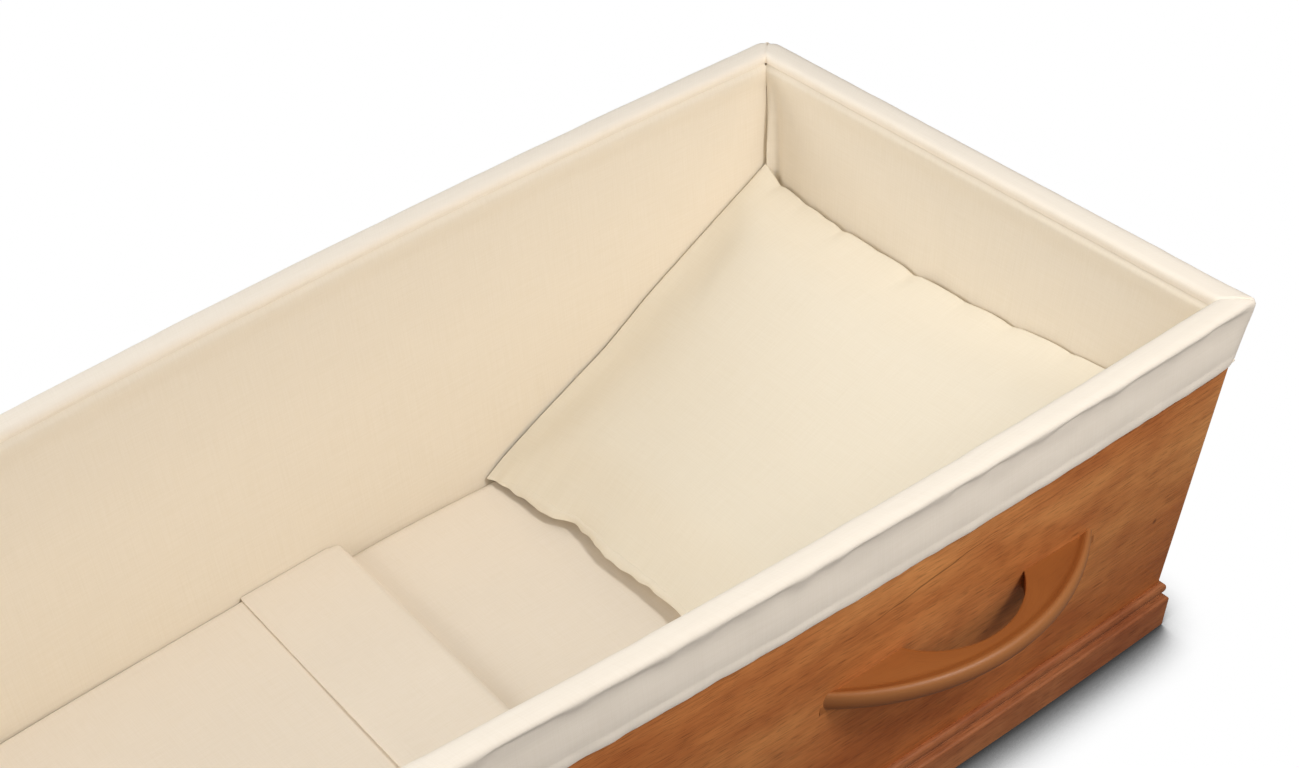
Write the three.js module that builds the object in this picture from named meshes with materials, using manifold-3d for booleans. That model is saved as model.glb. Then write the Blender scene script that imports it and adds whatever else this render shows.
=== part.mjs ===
// An open wooden coffin with its cotton lining, mattress, blanket and pillow.
// Millimetres, +Z up. The underside is at z = 0, the head end is at +X, and the origin is midway
// between the ends. Left and right are those of a person who lies in it face up, so left is -Y.

import * as THREE from 'three';
import { mergeVertices } from 'three/addons/utils/BufferGeometryUtils.js';
import Module from 'manifold-3d';

const wasm = await Module();
wasm.setup();

// Overall form. Insets are measured inwards from the outer line of the covered rim.
const length = 2000; // over the rim, from head to foot
const rimHeight = 392; // from the floor to the top of the covered rim
const widestHalf = 328; // half the width over the rim at its widest
const widestAt = 200; // the widest place, from the head end
const bowRadius = 9100; // of the long sides, seen from above
const bowEnds = 900; // from the head end; the sides run straight from here to the foot
const lean = 0.12; // how much the walls lean outwards for each unit of height
const gap = 0.3; // between pieces that touch
const sideSteps = 16; // straight facets along a bowed side

// Boards
const boardThickness = 18;
const bottomThickness = 20;
const clothOverWood = 4.5; // the rim border's thickness on the outer top edge
const boardTop = 388;

// Plinth moulding, measured out from the boards' face
const plinthHeight = 54.5;
const plinthBase = 11.2; // thickness of the lower, flat part
const plinthShoulder = 37.5; // height of the lower part, up to the groove
const shoulderRound = 4; // of the lower part's top edge
const beadOut = 6.2; // how far the bead above the groove stands out
const grooveOut = 4.8;

// Handles
const handlePlaces = { head: 323, middle: 1000, foot: 1677 }; // from the head end
const handleTop = 216;
const handleThickness = 22;
const handleHalfLength = 153;
const handleReach = 58;
const holeHalfLength = 70;
const holeDepth = 37;
const handleIntoWall = 30; // drawn on past the board's face, then cut to it
const wallCut = 60; // thickness of the solid that cuts it

// Lining and border
const liningThickness = 3.3;
const seamHeight = 381.4; // where the rim border meets the wall lining, inside
const cuffBottom = 322.5;
const hemThickness = 1.8;
const borderInner = 26.8; // inset of the border's inner face
const rimRound = 6; // radius of the rim's covered edges

// Bedding
const mattressTop = 89;
const mattressRound = 16; // height of its rounded upper edge
const mattressCrown = 3; // the edges lie this much lower than the middle
const blanketTop = 108;
const bandThickness = 3;
const bandFrom = 628; // the fold, from the head end
const bandTo = 744; // the turned-down edge
const foldRound = 6;
const blanketRound = 8; // of its foot edge
const softGap = 1.5; // between the bedding and the lining
const pillowFront = 450; // the front seam, from the head end
const pillowFrontHeight = 101;
const pillowTopHeight = 264;
const pillowCrown = 16;
const pillowWedge = 40; // from the front seam back to where the underside lies flat
const pillowBackRound = 30;
const softSteps = 8; // facets across the bedding

const endX = length / 2;

// Half the rim's width at x: a long arc from the head end, then a straight taper.
function rimHalfWidth(x) {
  const fromHead = endX - x;
  const onArc = Math.min(fromHead, bowEnds);
  const taper = (bowEnds - widestAt) / bowRadius;
  return widestHalf - (onArc - widestAt) ** 2 / (2 * bowRadius) - taper * (fromHead - onArc);
}

// Inset of the boards' outer face at a height, and of the wall lining's inner face.
function faceInset(z) {
  return clothOverWood + lean * (rimHeight - z);
}

function liningInset(z) {
  return faceInset(z) + boardThickness + gap + liningThickness;
}

// Points on the four sides, t = 0 to 1 along each. The four follow each other anticlockwise.
// Each stops short of its mitre by the clearance.
const mitreGap = gap * Math.SQRT1_2;
const sides = {
  left(inset, t, clearance) {
    const end = endX - inset - clearance;
    const x = THREE.MathUtils.lerp(-end, end, t);
    return [x, inset - rimHalfWidth(x)];
  },
  head(inset, t, clearance) {
    const x = endX - inset;
    const end = rimHalfWidth(x) - inset - clearance;
    return [x, THREE.MathUtils.lerp(-end, end, t)];
  },
  right(inset, t, clearance) {
    const [x, y] = sides.left(inset, 1 - t, clearance);
    return [x, -y];
  },
  foot(inset, t, clearance) {
    const x = inset - endX;
    const end = rimHalfWidth(x) - inset - clearance;
    return [x, THREE.MathUtils.lerp(end, -end, t)];
  },
};

function stepsAlong(side) {
  return side === 'left' || side === 'right' ? sideSteps : 1;
}

// Moves every corner of a geometry and welds it into one closed mesh.
function reshaped(geometry, place) {
  const corners = geometry.attributes.position;
  for (let i = 0; i < corners.count; i++) {
    corners.setXYZ(i, ...place(corners.getX(i), corners.getY(i), corners.getZ(i)));
  }
  geometry.deleteAttribute('normal');
  geometry.deleteAttribute('uv');
  return mergeVertices(geometry, 1e-4);
}

// An outline run for a unit of depth
function extruded(outline, steps) {
  return new THREE.ExtrudeGeometry(outline, { depth: 1, steps, curveSegments: 16, bevelEnabled: false });
}

function outlineOf(points) {
  return new THREE.Shape(points.map(([a, b]) => new THREE.Vector2(a, b)));
}

// A length along one side, from a section of (inset, height) points, mitred at both ends.
function along(side, section) {
  const place = (inset, z, t) => [...sides[side](inset, t, mitreGap), z];
  return reshaped(extruded(outlineOf(section), stepsAlong(side)), place);
}

// A soft or flat piece between the walls, from a (x, height) profile that is run across the width.
function across(profile, steps, place) {
  return reshaped(extruded(outlineOf(profile), steps), (x, z, t) => place(x, z, 1 - 2 * t));
}

// Solids for cutting
function solidOf(geometry) {
  const vertProperties = Float32Array.from(geometry.attributes.position.array);
  const triVerts = Uint32Array.from(geometry.index.array);
  return new wasm.Manifold(new wasm.Mesh({ numProp: 3, vertProperties, triVerts }));
}

function geometryOf(solid) {
  const { vertProperties, triVerts } = solid.getMesh();
  const geometry = new THREE.BufferGeometry();
  geometry.setAttribute('position', new THREE.BufferAttribute(vertProperties, 3));
  geometry.setIndex(new THREE.BufferAttribute(triVerts, 1));
  return geometry;
}

// Materials
function finish(color, roughness) {
  return new THREE.MeshStandardMaterial({ color, roughness, metalness: 0, flatShading: true });
}

const panelWood = finish('#9a5f38', 0.45);
const plinthWood = finish('#874a2c', 0.45);
const handleWood = finish('#9a5f2c', 0.35);
const boardWood = finish('#b08a60', 0.7);
const borderCotton = finish('#f1e9da', 0.9);
const liningCotton = finish('#e6d6b8', 0.9);
const beddingCotton = finish('#ecdfc6', 0.9);

const coffin = new THREE.Group();
coffin.name = 'wooden_coffin';

function add(name, geometry, material) {
  const mesh = new THREE.Mesh(geometry, material);
  mesh.name = name;
  coffin.add(mesh);
  return mesh;
}

// A section that leans with the walls: (distance in from the boards' face, height) points.
function leaning(section) {
  return section.map(([inwards, z]) => [faceInset(z) + inwards, z]);
}

// Side, head and foot boards, standing on the bottom board
function panel(side) {
  const foot = bottomThickness + gap;
  const outer = [[0, boardTop], [0, foot]];
  const inner = [[boardThickness, foot], [boardThickness, boardTop]];
  return along(side, leaning([...outer, ...inner]));
}

function bottomBoard() {
  const end = (z) => endX - faceInset(z) - gap;
  const halfWidth = (x, z) => rimHalfWidth(x) - faceInset(z) - gap;
  const under = stations(-end(0), end(0)).map((x) => [x, 0]);
  const top = end(bottomThickness);
  const over = stations(top, -top).map((x) => [x, bottomThickness]);
  return across([...under, ...over], 1, (x, z, side) => [x, side * halfWidth(x, z), z]);
}

// The moulding: a flat lower part with a rounded top edge, a groove and a bead above it
function plinth(side) {
  const beadRadius = (plinthHeight - plinthShoulder) / 4;
  const outline = new THREE.Shape();
  outline.moveTo(gap, 0);
  outline.lineTo(plinthBase, 0);
  outline.lineTo(plinthBase - 0.6, plinthShoulder - shoulderRound);
  outline.quadraticCurveTo(plinthBase - 0.8, plinthShoulder - 0.8, grooveOut + 2.4, plinthShoulder);
  outline.quadraticCurveTo(grooveOut, plinthShoulder + 1, grooveOut, plinthShoulder + beadRadius);
  outline.lineTo(beadOut, plinthShoulder + 2 * beadRadius);
  outline.lineTo(beadOut, plinthHeight - beadRadius);
  outline.quadraticCurveTo(beadOut, plinthHeight, gap, plinthHeight);
  const section = outline.getPoints(3).map(({ x, y }) => [-x, y]);
  return along(side, leaning(section));
}

// The outline of a half-moon, seen from above, with its chord on the board's face
function halfMoon(halfLength, reach) {
  const radius = (halfLength ** 2 + reach ** 2) / (2 * reach);
  const centre = reach - radius;
  const turn = Math.asin((-handleIntoWall - centre) / radius);
  const outline = new THREE.Shape();
  outline.absarc(0, centre, radius, turn, Math.PI - turn, false);
  return { outline, radius, centre };
}

// The shelf, its outer edge fully rounded
function handlePlate() {
  const { outline, radius, centre } = halfMoon(handleHalfLength, handleReach);
  const edge = handleThickness / 2;
  return reshaped(extruded(outline, 6), (x, out, t) => {
    const drawnIn = 1 - edge * (1 - Math.sin(Math.PI * t)) / radius;
    const height = -edge - edge * Math.cos(Math.PI * t);
    return [x * drawnIn, centre + (out - centre) * drawnIn, height];
  });
}

function fingerHole() {
  const { outline } = halfMoon(holeHalfLength, holeDepth);
  return reshaped(extruded(outline, 1), (x, out, t) => [x, out, handleThickness * (2 * t - 1.5)]);
}

function handle(side, place) {
  const x = endX - handlePlaces[place];
  const face = rimHalfWidth(x) - faceInset(handleTop);
  const slope = Math.atan(rimHalfWidth(x + 0.5) - rimHalfWidth(x - 0.5));
  const mesh = add(`handle_${side}_${place}`, undefined, handleWood);
  mesh.position.set(x, side === 'right' ? face : -face, handleTop);
  mesh.rotation.z = side === 'right' ? slope : Math.PI - slope;
  mesh.updateMatrix();

  const low = handleTop - 2 * handleThickness;
  const high = handleTop + handleThickness;
  const wall = along(side, leaning([[-gap, low], [wallCut, low], [wallCut, high], [-gap, high]]));
  wall.applyMatrix4(mesh.matrix.clone().invert());
  const plate = solidOf(handlePlate()).subtract(solidOf(fingerHole()));
  mesh.geometry = geometryOf(plate.subtract(solidOf(wall)));
}

// Padded cotton on the inner face of a board, from the bottom board to the seam under the rim
function lining(side) {
  const front = boardThickness + gap + liningThickness;
  const back = boardThickness + gap;
  const low = bottomThickness + gap;
  const high = seamHeight - gap;
  return along(side, leaning([[back, low], [front, low], [front, high], [back, high]]));
}

// The cotton strip over the rim, all the way round: an outer cuff, the padded top and a short leg
// inside
function rimBorder() {
  const outline = new THREE.Shape();
  const innerBack = (z) => faceInset(z) + boardThickness + gap;
  const outerBack = (z) => faceInset(z) - gap;
  outline.moveTo(outerBack(cuffBottom), cuffBottom);
  outline.lineTo(outerBack(boardTop + gap), boardTop + gap);
  outline.lineTo(innerBack(boardTop + gap), boardTop + gap);
  outline.lineTo(innerBack(seamHeight), seamHeight);
  outline.lineTo(borderInner, seamHeight);
  outline.lineTo(borderInner - 0.4, rimHeight - rimRound);
  outline.quadraticCurveTo(borderInner - 0.6, rimHeight, borderInner - rimRound, rimHeight);
  outline.lineTo(rimRound, rimHeight);
  outline.quadraticCurveTo(0, rimHeight, 0, rimHeight - rimRound);
  outline.lineTo(outerBack(cuffBottom) - hemThickness, cuffBottom);
  return ring(outline.getPoints(2));
}

// A closed band round all four sides: the section stands at every station, joined to the next
function ring(section) {
  const corners = [];
  for (const side of Object.keys(sides)) {
    for (let i = 0; i < stepsAlong(side); i++) {
      for (const { x: inset, y: z } of section) {
        corners.push(...sides[side](inset, i / stepsAlong(side), 0), z);
      }
    }
  }
  const size = section.length;
  const count = corners.length / 3;
  const faces = [];
  for (let start = 0; start < count; start += size) {
    for (let j = 0; j < size; j++) {
      const here = start + j;
      const beside = start + (j + 1) % size;
      const ahead = (here + size) % count;
      const opposite = (beside + size) % count;
      faces.push(here, beside, opposite, here, opposite, ahead);
    }
  }
  const geometry = new THREE.BufferGeometry();
  geometry.setAttribute('position', new THREE.Float32BufferAttribute(corners, 3));
  geometry.setIndex(faces);
  return geometry;
}

// How far the bedding reaches sideways at a place and height
function softHalfWidth(x, z) {
  return rimHalfWidth(x) - liningInset(z) - softGap;
}

function softEnd(z) {
  return endX - liningInset(z) - softGap;
}

// x positions from one end of a piece to the other, as close as the facets of the bowed sides
function stations(from, to) {
  const count = Math.ceil(Math.abs(to - from) / (length / sideSteps));
  return Array.from({ length: count + 1 }, (_, i) => THREE.MathUtils.lerp(from, to, i / count));
}

// A stuffed mattress that fills the floor, with rounded upper edges and a slight crown
function mattress() {
  const low = bottomThickness + gap;
  const shoulder = mattressTop - mattressRound;
  const top = softEnd(mattressTop) - mattressRound / 2;
  const under = stations(-softEnd(low), softEnd(low)).map((x) => [x, low]);
  const over = stations(top, -top).map((x) => [x, mattressTop]);
  const profile = [...under, [softEnd(shoulder), shoulder], ...over, [-softEnd(shoulder), shoulder]];
  return across(profile, softSteps, (x, z, side) => {
    const height = z > shoulder ? z - mattressCrown * side ** 4 : z;
    return [x, side * softHalfWidth(x, height), height];
  });
}

// A padded blanket on the mattress, tucked against the foot, its head end turned down as a band
function blanket() {
  const low = mattressTop + gap;
  const fold = endX - bandFrom;
  const edge = endX - bandTo;
  const foot = -softEnd(low - mattressCrown);
  const bandTop = blanketTop + bandThickness;
  const profile = [
    ...stations(foot, fold - foldRound).map((x) => [x, low]),
    [fold, low + foldRound],
    [fold, bandTop - foldRound],
    [fold - foldRound, bandTop],
    [edge, bandTop],
    ...stations(edge, foot + blanketRound).map((x) => [x, blanketTop]),
    [foot, blanketTop - blanketRound],
  ];
  return across(profile, softSteps, (x, z, side) => {
    const height = z - mattressCrown * side ** 4;
    return [x, side * softHalfWidth(x, height), height];
  });
}

// A stuffed pillow that leans from the mattress up to the head lining and spans the width
function pillow() {
  const low = mattressTop + gap;
  const front = endX - pillowFront;
  const top = softEnd(pillowTopHeight);
  const back = softEnd(low);
  const rise = pillowTopHeight - pillowFrontHeight;
  const outline = new THREE.Shape();
  outline.moveTo(front, pillowFrontHeight);
  outline.quadraticCurveTo(front, low, front + pillowWedge, low);
  outline.lineTo(back - pillowBackRound, low);
  outline.quadraticCurveTo(back, low, softEnd(low + pillowBackRound), low + pillowBackRound);
  outline.lineTo(top, pillowTopHeight);
  outline.quadraticCurveTo(
    (front + top) / 2 - 2 * pillowCrown * rise / (top - front),
    pillowFrontHeight + rise / 2 + 2 * pillowCrown,
    front,
    pillowFrontHeight,
  );
  const profile = outline.getPoints(10).slice(0, -1).map(({ x, y }) => [x, y]);
  return across(profile, softSteps, (x, z, side) => {
    const seam = pillowFrontHeight + rise * (x - front) / (top - front);
    const height = z - Math.max(0, z - seam) * side ** 4;
    return [x, side * softHalfWidth(x, height), height];
  });
}

add('bottom_board', bottomBoard(), boardWood);
for (const side of Object.keys(sides)) {
  const long = side === 'left' || side === 'right';
  add(long ? `side_panel_${side}` : `${side}_panel`, panel(side), panelWood);
  add(`plinth_${side}`, plinth(side), plinthWood);
  add(`lining_${side}`, lining(side), liningCotton);
}
for (const side of ['left', 'right']) {
  for (const place of Object.keys(handlePlaces)) {
    handle(side, place);
  }
}
add('rim_border', rimBorder(), borderCotton);
add('mattress', mattress(), beddingCotton);
add('blanket', blanket(), beddingCotton);
add('pillow', pillow(), beddingCotton);

export default coffin;
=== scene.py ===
# An open wooden coffin, lined and bedded in natural cotton, seen from above on its left side.
# Metres. The head end is at +X, the left side is at -Y and the floor is at z = 0.
import math

import bpy
from mathutils import Matrix, Vector, noise


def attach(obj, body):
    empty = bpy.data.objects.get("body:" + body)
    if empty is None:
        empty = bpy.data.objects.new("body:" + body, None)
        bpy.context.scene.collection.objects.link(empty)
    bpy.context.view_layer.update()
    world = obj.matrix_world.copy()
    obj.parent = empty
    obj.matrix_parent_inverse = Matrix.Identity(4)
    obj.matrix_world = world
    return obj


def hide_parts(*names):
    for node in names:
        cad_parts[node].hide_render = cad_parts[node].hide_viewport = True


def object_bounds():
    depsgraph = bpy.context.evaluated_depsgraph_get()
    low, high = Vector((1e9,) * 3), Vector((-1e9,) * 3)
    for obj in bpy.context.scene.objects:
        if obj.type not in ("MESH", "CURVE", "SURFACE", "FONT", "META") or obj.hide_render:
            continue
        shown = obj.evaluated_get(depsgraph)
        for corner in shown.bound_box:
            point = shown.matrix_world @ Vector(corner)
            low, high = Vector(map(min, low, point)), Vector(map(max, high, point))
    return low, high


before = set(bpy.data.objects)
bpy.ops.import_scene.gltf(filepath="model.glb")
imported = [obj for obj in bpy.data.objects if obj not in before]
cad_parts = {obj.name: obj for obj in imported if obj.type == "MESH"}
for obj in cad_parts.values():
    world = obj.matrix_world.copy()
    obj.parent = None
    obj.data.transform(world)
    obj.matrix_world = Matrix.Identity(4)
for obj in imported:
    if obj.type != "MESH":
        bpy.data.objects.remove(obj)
cadLow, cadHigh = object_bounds()
print("frame loaded")

mm = 0.001

# The form of the walls, as the part's source has it
form = {
    "endX": cadHigh.x,  # half the length over the rim
    "rimHeight": cadHigh.z,
    "widestHalf": 328 * mm,
    "widestAt": 200 * mm,  # from the head end
    "bowRadius": 9.1,
    "bowEnds": 900 * mm,  # from the head end; straight from here to the foot
    "lean": 0.12,  # how much the walls lean outwards for each unit of height
    "clothOverWood": 4.5 * mm,
    "boardThickness": 18 * mm,
    "liningThickness": 3.6 * mm,
}


# Half the rim's width: a long arc from the head end, then a straight taper
def rimHalfWidth(x):
    fromHead = form["endX"] - x
    onArc = min(fromHead, form["bowEnds"])
    taper = (form["bowEnds"] - form["widestAt"]) / form["bowRadius"]
    bow = (onArc - form["widestAt"]) ** 2 / (2 * form["bowRadius"])
    return form["widestHalf"] - bow - taper * (fromHead - onArc)


# How far in from the rim's outer line the boards' outer face and the lining's face are
def faceInset(z):
    return form["clothOverWood"] + form["lean"] * (form["rimHeight"] - z)


def liningInset(z):
    return faceInset(z) + form["boardThickness"] + form["liningThickness"]


sides = ("left", "head", "right", "foot")  # anticlockwise from above


# A point on one side: t runs 0 to 1 along it, inset is in from the rim's outer line
def onWall(side, t, inset, z):
    end = form["endX"] - inset
    if side == "left":
        x = -end + 2 * end * t
        return Vector((x, inset - rimHalfWidth(x), z))
    if side == "right":
        x = end - 2 * end * t
        return Vector((x, rimHalfWidth(x) - inset, z))
    x = end if side == "head" else -end
    half = rimHalfWidth(x) - inset
    y = half * (2 * t - 1)
    return Vector((x, y if side == "head" else -y, z))


def sideLength(side):
    if side in ("left", "right"):
        return 2 * form["endX"]
    return 2 * rimHalfWidth(form["endX"] if side == "head" else -form["endX"])


def smooth(a, b, value):
    t = min(1, max(0, (value - a) / (b - a)))
    return t * t * (3 - 2 * t)


# A gentle random swell between about -1 and 1, the same on every run
def swell(a, b, size, seed):
    return 1.6 * noise.noise(Vector((a / size, b / size, seed)))


# A line through (position, value) points, straight between them and level beyond its ends
def through(points, position):
    if position <= points[0][0]:
        return points[0][1]
    for (a, low), (b, high) in zip(points, points[1:]):
        if position <= b:
            return low + (high - low) * (position - a) / (b - a)
    return points[-1][1]


# Materials
def linear(hexColour):
    channels = [int(hexColour[i : i + 2], 16) / 255 for i in (1, 3, 5)]
    return [c / 12.92 if c <= 0.04045 else ((c + 0.055) / 1.055) ** 2.4 for c in channels] + [1]


def addNode(material, kind, inputs=None, **settings):
    node = material.node_tree.nodes.new(kind)
    for name, value in settings.items():
        setattr(node, name, value)
    for name, value in (inputs or {}).items():
        if isinstance(value, bpy.types.NodeSocket):
            material.node_tree.links.new(value, node.inputs[name])
        else:
            node.inputs[name].default_value = value
    return node


def newMaterial(name):
    material = bpy.data.materials.new(name)
    material.use_nodes = True
    material.node_tree.nodes.clear()
    return material


def finishMaterial(material, inputs):
    shader = addNode(material, "ShaderNodeBsdfPrincipled", inputs)
    addNode(material, "ShaderNodeOutputMaterial", {"Surface": shader.outputs["BSDF"]})
    return material


def rampOf(material, factor, stops):
    ramp = addNode(material, "ShaderNodeValToRGB", {"Fac": factor})
    while len(ramp.color_ramp.elements) < len(stops):
        ramp.color_ramp.elements.new(0.5)
    for element, (position, colour) in zip(ramp.color_ramp.elements, stops):
        element.position = position
        element.color = linear(colour) if isinstance(colour, str) else [colour] * 3 + [1]
    return ramp.outputs["Color"]


def remap(material, value, fromLow, fromHigh, toLow=0.0, toHigh=1.0):
    values = {"Value": value, "From Min": fromLow, "From Max": fromHigh, "To Min": toLow, "To Max": toHigh}
    return addNode(material, "ShaderNodeMapRange", values).outputs["Result"]


# Solid alder, planed, stained a reddish brown and varnished satin: fine dark pores and short
# streaks along the boards, soft reddish clouds, painted shade darker towards the head end, and a
# low sheen. The map runs along the grain, in metres, and each pattern's size along and across it is too.
def makeWood(name, look):
    wood = newMaterial(name)
    place = addNode(wood, "ShaderNodeUVMap", uv_map="grain").outputs["UV"]

    def grain(along, over, detail, roughness=0.5):
        stretched = addNode(
            wood,
            "ShaderNodeMapping",
            {"Vector": place, "Scale": (1 / along, 1 / over, 1), "Location": look["offset"]},
        )
        values = {"Vector": stretched.outputs["Vector"], "Scale": 1, "Detail": detail, "Roughness": roughness}
        return addNode(wood, "ShaderNodeTexNoise", {**values, "Distortion": 0.2}).outputs["Fac"]

    def darken(colour, shade, strength):
        mix = addNode(
            wood,
            "ShaderNodeMix",
            {"Factor": strength, "A": colour, "B": shade},
            data_type="RGBA",
            blend_type="MULTIPLY",
        )
        return mix.outputs["Result"]

    figure = look["figure"]
    clouds = grain(0.34, 0.12, 2.5, 0.55)
    mottle = grain(0.07, 0.03, 3, 0.6)
    streaks = grain(0.12, 0.0026, 3, 0.6)
    pores = grain(0.02, 0.0009, 1.5)
    colour = rampOf(wood, clouds, [(0.32, look["dark"]), (0.5, look["middle"]), (0.68, look["light"])])
    colour = darken(colour, rampOf(wood, mottle, [(0.32, "#c4a294"), (0.62, "#ffffff")]), 0.5 * figure)
    colour = darken(colour, rampOf(wood, streaks, [(0.3, 0.5), (0.6, 1.0)]), 0.3 * figure)
    poreShade = rampOf(wood, pores, [(0.36, look["poreShade"]), (0.43, 1.0)])
    colour = darken(colour, poreShade, 0.85 * figure)
    axes = addNode(wood, "ShaderNodeTexCoord")  # painted shade: the wood is drawn darker towards the head end
    x = addNode(wood, "ShaderNodeSeparateXYZ", {"Vector": axes.outputs["Object"]}).outputs["X"]
    colour = darken(colour, remap(wood, x, 0.62, 0.9, 1.0, look["paintedHeadShade"]), 1.0)
    height = addNode(wood, "ShaderNodeSeparateXYZ", {"Vector": place}).outputs["Y"]
    if look["paintedFootShade"]:  # painted shade: darker and redder towards the plinth
        footward = remap(wood, height, 0.08, 0.24)
        shade = rampOf(wood, footward, [(0.0, look["paintedFootShade"]), (1.0, "#ffffff")])
        colour = darken(colour, shade, 1.0)
    if look["paintedLipLight"]:  # painted light: paler on the lip, a band of the map that runs round a handle's section
        girth = remap(wood, height, 0.0, 0.16)
        onLip = rampOf(wood, girth, [(0.5, 0.0), (0.54, 1.0), (0.68, 1.0), (0.77, 0.0)])
        mix = {"Factor": onLip, "A": colour, "B": linear(look["paintedLipLight"])}
        colour = addNode(wood, "ShaderNodeMix", mix, data_type="RGBA").outputs["Result"]
    if look["check"]:  # places on the left panel's map
        colour = darken(colour, seasoningCheck(wood, place, look["check"]), 1.0)
        colour = darken(colour, pinKnot(wood, place, look["knot"]), 1.0)
    rough = remap(wood, streaks, 0.3, 0.7, look["roughness"] + 0.07, look["roughness"])
    bump = addNode(wood, "ShaderNodeBump", {"Height": poreShade, "Strength": 0.2, "Distance": 0.0005})
    return finishMaterial(
        wood,
        {
            "Base Color": colour,
            "Roughness": rough,
            "IOR": 1.45,
            "Specular IOR Level": look["gloss"],
            "Normal": bump.outputs["Normal"],
        },
    )


# A hair-thin dark line in the grain, from one place on the map to another, widest past its middle
def seasoningCheck(wood, place, line):
    (u0, v0), (u1, v1) = line
    waver = addNode(wood, "ShaderNodeTexNoise", {"Vector": place, "Scale": 42, "Detail": 2.0}).outputs["Fac"]
    axes = addNode(wood, "ShaderNodeSeparateXYZ", {"Vector": place}).outputs
    share = remap(wood, axes["X"], u0, u1)
    level = remap(wood, share, 0.0, 1.0, v0, v1)
    wandering = {0: waver, 1: 0.005, 2: level}
    wander = addNode(wood, "ShaderNodeMath", wandering, operation="MULTIPLY_ADD")
    off = addNode(wood, "ShaderNodeMath", {0: axes["Y"], 1: wander.outputs[0]}, operation="SUBTRACT")
    distance = addNode(wood, "ShaderNodeMath", {0: off.outputs[0]}, operation="ABSOLUTE")
    edge = rampOf(wood, share, [(0.0, 0.0), (0.4, 0.3), (0.6, 1.0), (0.78, 0.8), (1.0, 0.2)])
    width = addNode(wood, "ShaderNodeMath", {0: edge, 1: 0.0013, 2: 0.00001}, operation="MULTIPLY_ADD")
    return remap(wood, distance.outputs[0], 0.0, width.outputs[0], 0.3, 1.0)


# A dark pin knot, about 5 mm across
def pinKnot(wood, place, spot):
    away = addNode(wood, "ShaderNodeVectorMath", {0: place, 1: (*spot, 0)}, operation="DISTANCE")
    return remap(wood, away.outputs["Value"], 0.001, 0.0035, 0.45, 1.0)


# Unbleached cotton in plain weave: matt, a little fluffy against the light, with slubs in both
# directions. Threads are about 0.3 mm apart on the real cloth and drawn twice as coarse, to show
# at all. The thread in a look is a whole wave of the weave, two threads wide.
def makeCotton(name, look):
    cotton = newMaterial(name)
    place = addNode(cotton, "ShaderNodeUVMap", uv_map="cloth").outputs["UV"]
    axes = addNode(cotton, "ShaderNodeSeparateXYZ", {"Vector": place}).outputs
    waves = []
    for axis in ("X", "Y"):
        turns = {0: axes[axis], 1: 2 * math.pi / look["thread"]}
        turned = addNode(cotton, "ShaderNodeMath", turns, operation="MULTIPLY").outputs[0]
        waves.append(addNode(cotton, "ShaderNodeMath", {0: turned}, operation="SINE").outputs[0])
    weave = addNode(cotton, "ShaderNodeMath", {0: waves[0], 1: waves[1]}, operation="MULTIPLY")

    def slub(along, over):
        stretched = addNode(
            cotton, "ShaderNodeMapping", {"Vector": place, "Scale": (1 / along, 1 / over, 1)}
        )
        values = {"Vector": stretched.outputs["Vector"], "Scale": 1.0, "Detail": 2.0}
        return addNode(cotton, "ShaderNodeTexNoise", values).outputs["Fac"]

    colour = None
    for threads in (slub(0.05, 0.0014), slub(0.0014, 0.05)):
        tone = rampOf(cotton, threads, [(0.3, look["shade"]), (0.7, look["colour"])])
        if colour is None:
            colour = tone
        else:
            mix = addNode(cotton, "ShaderNodeMix", {"Factor": 0.5, "A": colour, "B": tone}, data_type="RGBA")
            colour = mix.outputs["Result"]
    bump = addNode(
        cotton,
        "ShaderNodeBump",
        {"Height": weave.outputs[0], "Strength": look["bump"], "Distance": 0.0002},
    )
    return finishMaterial(
        cotton,
        {
            "Base Color": colour,
            "Roughness": 0.88,
            "IOR": 1.45,
            "Specular IOR Level": 0.25,
            "Sheen Weight": 0.12,
            "Sheen Roughness": 0.5,
            "Normal": bump.outputs["Normal"],
        },
    )


panelLook = {
    "dark": "#c6783f",
    "middle": "#d68b4e",
    "light": "#e19b5b",
    "poreShade": 0.6,
    "roughness": 0.47,
    "gloss": 0.22,
    "figure": 1.0,
    "paintedHeadShade": 0.94,
    "paintedFootShade": "#f4d9cc",
    "paintedLipLight": None,
    "offset": (0, 0, 0),
    "check": None,
    "knot": (1.956, 0.193),
}
plinthLook = {
    **panelLook,
    "dark": "#a35d38",
    "middle": "#b37046",
    "light": "#be7c4e",
    "paintedFootShade": None,
    "offset": (7, 3, 0),
}
handleLook = {
    **panelLook,
    "dark": "#965526",
    "middle": "#a3622d",
    "light": "#ac6c35",
    "roughness": 0.4,
    "gloss": 0.5,
    "paintedFootShade": None,
    "paintedLipLight": "#a96d3c",
    "figure": 0.3,
    "offset": (3, 9, 0),
}
boardLook = {
    **panelLook,
    "dark": "#9c7346",
    "middle": "#b58c5c",
    "light": "#c6a070",
    "paintedHeadShade": 1.0,
    "paintedFootShade": None,
}
borderLook = {"colour": "#f8eedf", "shade": "#f3e8d7", "thread": 1.2 * mm, "bump": 0.18}
liningLook = {"colour": "#ede2d0", "shade": "#e8dcc7", "thread": 1.2 * mm, "bump": 0.14}
beddingLook = {"colour": "#f5e9d8", "shade": "#f0e3cf", "thread": 1.2 * mm, "bump": 0.14}
pillowLook = {"colour": "#eee4d0", "shade": "#eadfc9", "thread": 1.2 * mm, "bump": 0.14}

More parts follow.
